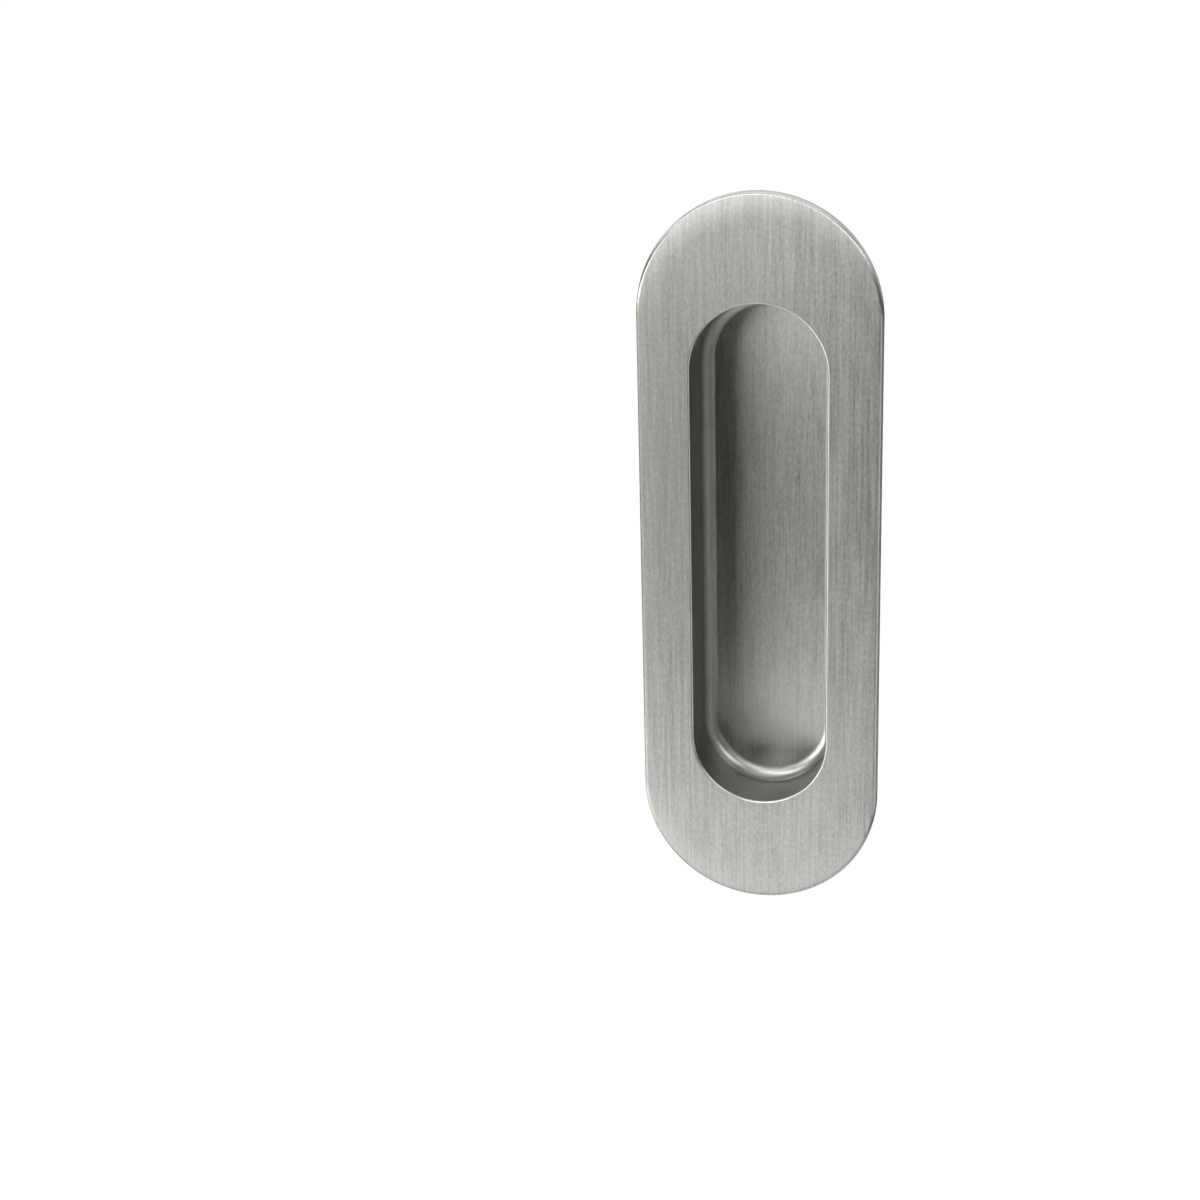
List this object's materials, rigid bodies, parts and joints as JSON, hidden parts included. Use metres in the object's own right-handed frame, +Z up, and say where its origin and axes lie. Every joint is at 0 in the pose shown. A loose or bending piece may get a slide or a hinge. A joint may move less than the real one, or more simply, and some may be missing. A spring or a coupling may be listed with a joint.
{
  "type": "oval flush pull",
  "caption": "One-piece flush pull: a flat plate with half-round ends and a straight-walled finger cup that drops into a routed pocket in a sliding door or drawer front.",
  "frame": {"origin": "centre of the plate's back plane, on the surface of the door, on the axis of the cup", "axes": "+Z up along the long axis, +Y into the door, so the face looks towards -Y, +X to the right seen from the front"},
  "size_m": [0.0396, 0.0117, 0.12],
  "materials": {
    "satin_steel": "satin, fine straight grain along the long axis"
  },
  "bodies": {
    "root": {"flush_pull": "satin_steel"}
  },
  "joints": []
}
